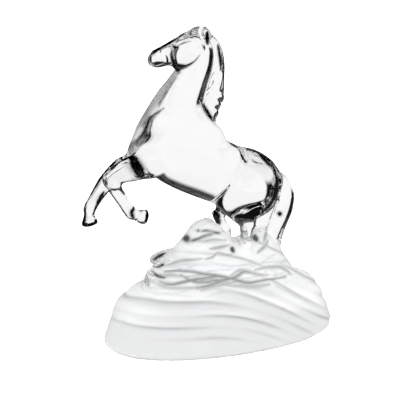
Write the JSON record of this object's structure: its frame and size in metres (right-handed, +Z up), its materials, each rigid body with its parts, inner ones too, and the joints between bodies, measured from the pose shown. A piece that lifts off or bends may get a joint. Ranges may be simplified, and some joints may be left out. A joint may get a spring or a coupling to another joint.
{
  "type": "crystal horse figurine",
  "caption": "Solid clear crystal figurine of a horse rearing on a grassy mound, over an oval base with a frosted, rippled skin and a flat underside.",
  "frame": {"origin": "middle of the oval base's flat underside", "axes": "+Z up, out of the underside towards the ears; the horse faces -X and its near side is -Y"},
  "size_m": [0.1372, 0.069, 0.1691],
  "materials": {
    "crystal": "clear polished crystal, frosted on the oval base"
  },
  "bodies": {
    "root": {"crystal_horse": "crystal"}
  },
  "joints": []
}
